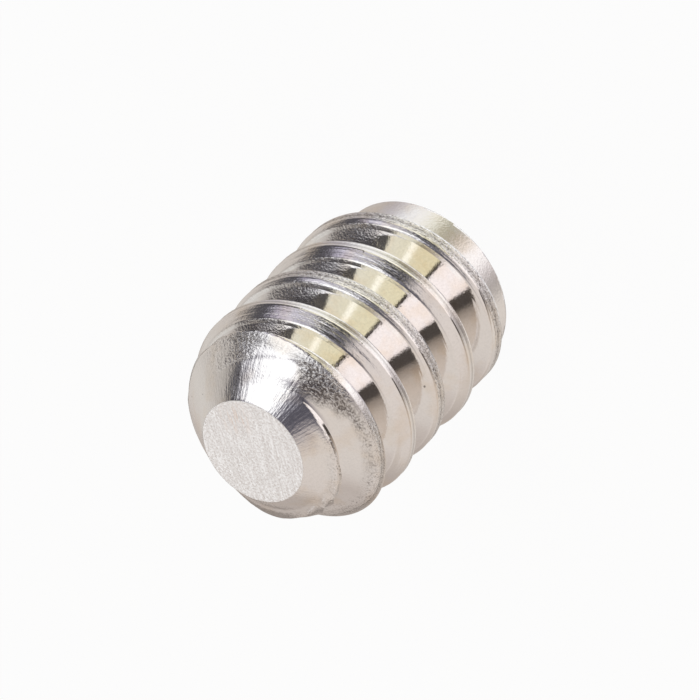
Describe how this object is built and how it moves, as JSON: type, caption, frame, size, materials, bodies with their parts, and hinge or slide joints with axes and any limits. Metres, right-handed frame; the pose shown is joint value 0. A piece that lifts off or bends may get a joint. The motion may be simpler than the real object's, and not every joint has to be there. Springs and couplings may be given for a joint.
{
  "type": "socket set screw",
  "caption": "Headless set screw with a coarse right-hand thread, a coned flat point, and a countersunk hexagon socket in its plain collar end.",
  "frame": {"origin": "centre of the socket end face, on which the screw stands", "axes": "+Z along the screw's axis from the socket end to the flat point"},
  "size_m": [0.01, 0.01, 0.014],
  "materials": {
    "plated_steel": "bright plated, with burnished flanks and rough rolled crests"
  },
  "bodies": {
    "root": {"screw_body": "plated_steel"}
  },
  "joints": []
}
